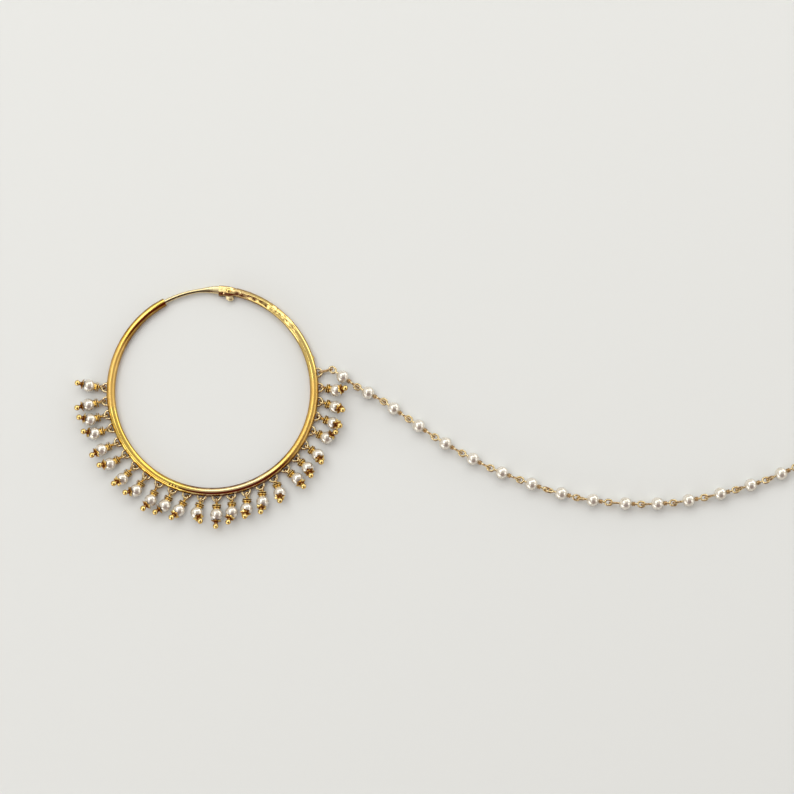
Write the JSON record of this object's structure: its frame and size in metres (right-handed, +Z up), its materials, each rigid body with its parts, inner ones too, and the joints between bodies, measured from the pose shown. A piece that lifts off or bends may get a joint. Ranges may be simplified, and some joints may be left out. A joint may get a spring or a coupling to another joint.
{
  "type": "nath nose ring with hair chain",
  "caption": "Gold-plated hoop nose ring with a hinged pin, pearl drops round its lower rim and a beaded pearl chain to a hair hook.",
  "frame": {"origin": "middle of the whole part's footprint, on the surface that it lies on", "axes": "+X along the chain's free end, +Y towards the side of the hoop that has the hinged pin, +Z up from the table, square to the hoop's plane"},
  "size_m": [0.1798, 0.0576, 0.0042],
  "materials": {
    "gold_plated_brass": "polished gold plate, hammered near the hinge",
    "pearl": "cream imitation pearl with a soft sheen, in gold-plated caps and wire"
  },
  "bodies": {
    "nath": {"hoop": "gold_plated_brass", "rivet": "gold_plated_brass", "jump_link": "gold_plated_brass", "hair_hook": "gold_plated_brass", "drop_01": "pearl", "drop_02": "pearl", "drop_03": "pearl", "drop_04": "pearl", "drop_05": "pearl", "drop_06": "pearl", "drop_07": "pearl", "drop_08": "pearl", "drop_09": "pearl", "drop_10": "pearl", "drop_11": "pearl", "drop_12": "pearl", "drop_13": "pearl", "drop_14": "pearl", "drop_15": "pearl", "drop_16": "pearl", "drop_17": "pearl", "drop_18": "pearl", "drop_19": "pearl", "drop_20": "pearl", "drop_21": "pearl", "drop_22": "pearl", "drop_23": "pearl", "drop_24": "pearl", "chain_link_01": "pearl", "chain_link_02": "pearl", "chain_link_03": "pearl", "chain_link_04": "pearl", "chain_link_05": "pearl", "chain_link_06": "pearl", "chain_link_07": "pearl", "chain_link_08": "pearl", "chain_link_09": "pearl", "chain_link_10": "pearl", "chain_link_11": "pearl", "chain_link_12": "pearl", "chain_link_13": "pearl", "chain_link_14": "pearl", "chain_link_15": "pearl", "chain_link_16": "pearl"},
    "pin": {"hinged_pin": "gold_plated_brass"}
  },
  "joints": [
    {"name": "pin_hinge", "type": "hinge", "parent": "nath", "child": "pin", "pos_m": [-0.05393, 0.02757, 0.001], "axis": [0, 0, -1], "range_deg": [0, 100]}
  ]
}
